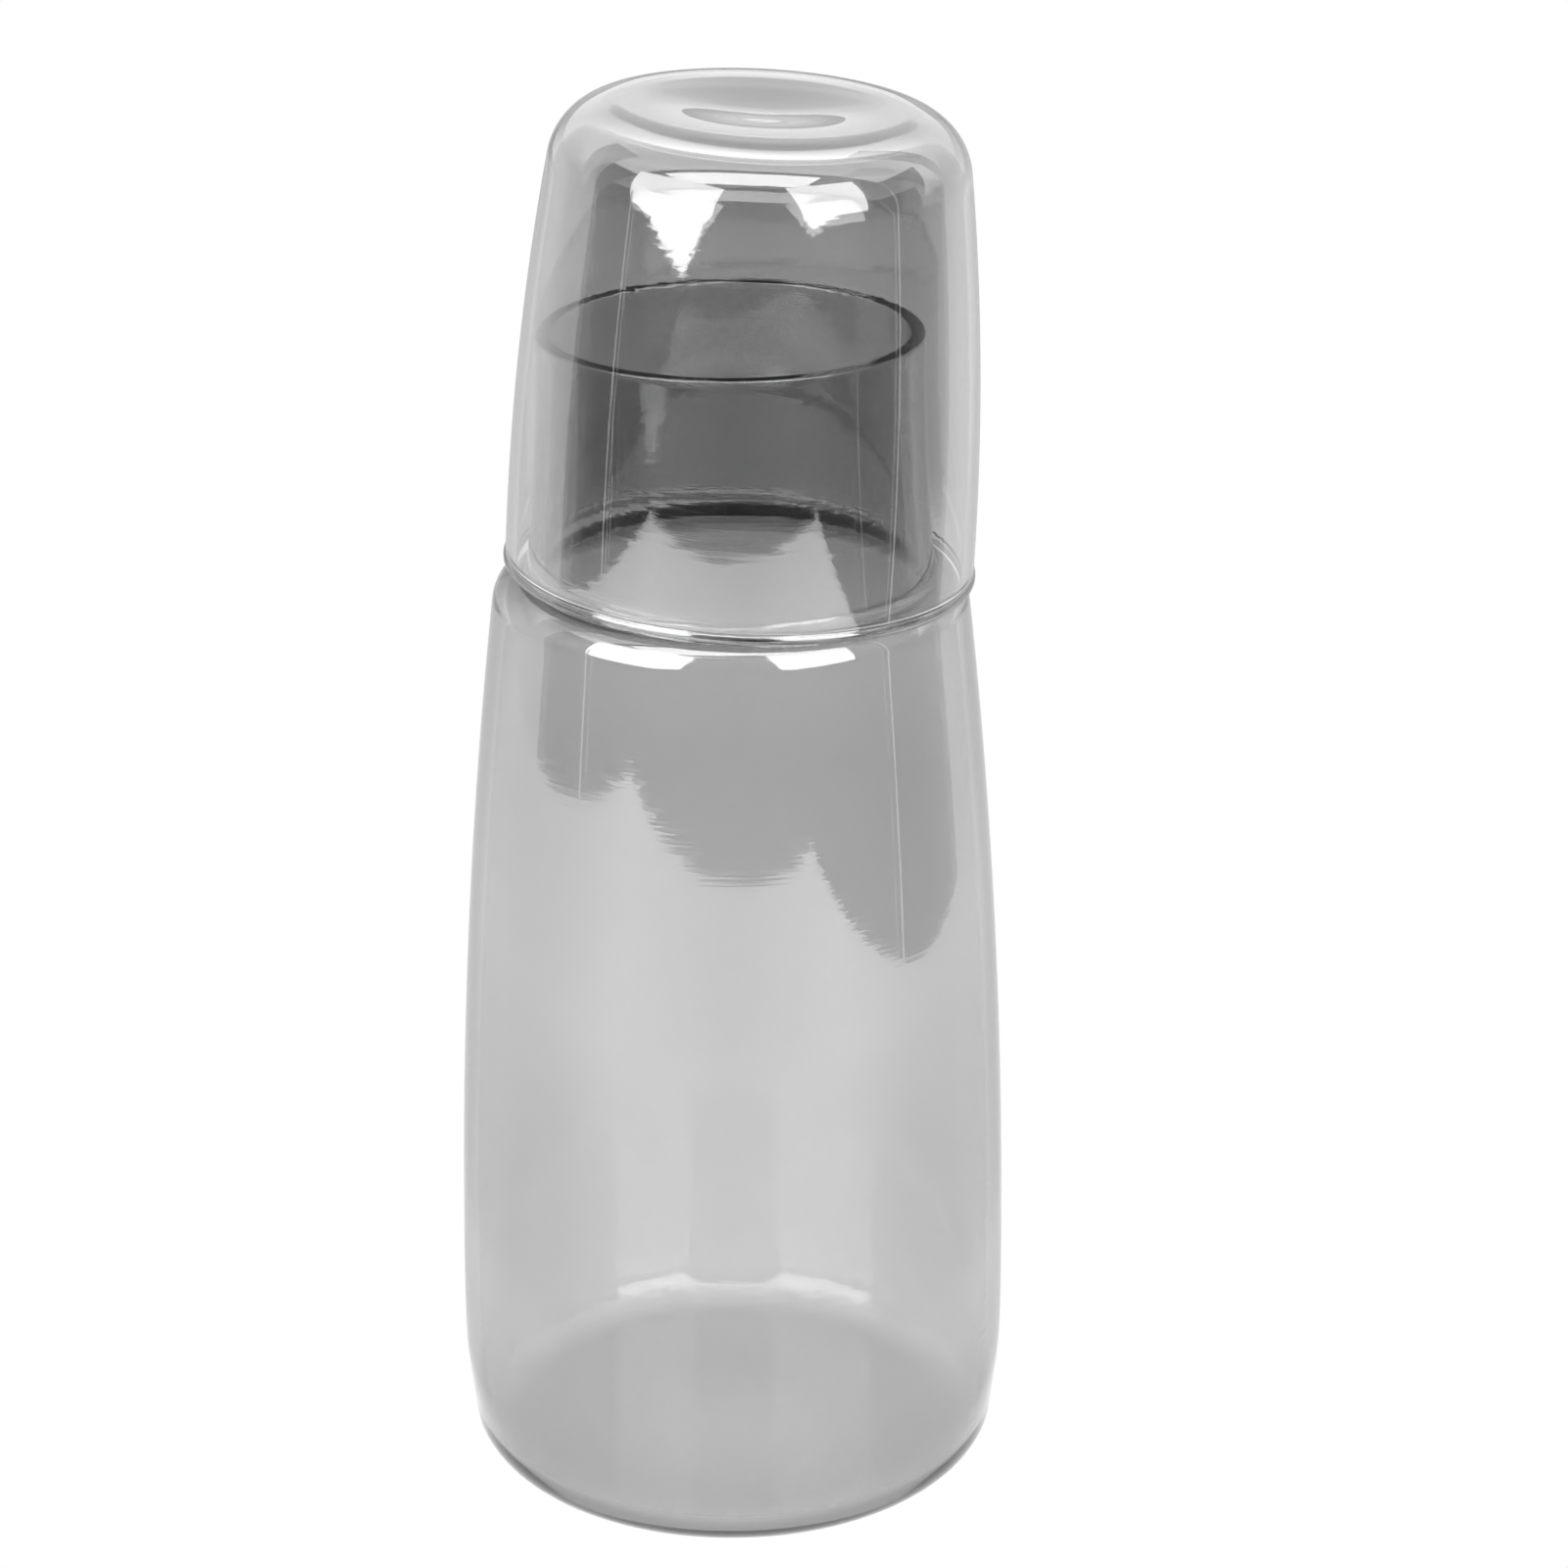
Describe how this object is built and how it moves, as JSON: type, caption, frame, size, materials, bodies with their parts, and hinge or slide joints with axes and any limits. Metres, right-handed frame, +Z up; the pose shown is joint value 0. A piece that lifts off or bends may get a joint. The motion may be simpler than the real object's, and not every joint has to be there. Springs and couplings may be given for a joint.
{
  "type": "bedside carafe with tumbler",
  "caption": "Round glass water carafe with a stepped neck, and a drinking tumbler turned upside down over the neck as its cover.",
  "frame": {"origin": "on the carafe's axis, in the plane of the ring that it stands on", "axes": "+Z up along the carafe's axis; +X to the right and +Y away from the viewer of the picture"},
  "size_m": [0.09, 0.09, 0.2285],
  "materials": {
    "carafe_glass": "clear smoked grey glass, tinted through its thickness, fire-polished smooth",
    "tumbler_glass": "clear smoked grey glass, tinted through its thickness, fire-polished smooth"
  },
  "bodies": {
    "carafe": {"carafe": "carafe_glass"},
    "tumbler": {"tumbler": "tumbler_glass"}
  },
  "joints": [
    {"name": "tumbler_lift", "type": "slide", "parent": "carafe", "child": "tumbler", "axis": [0, 0, 1], "range_m": [0, 0.06]}
  ]
}
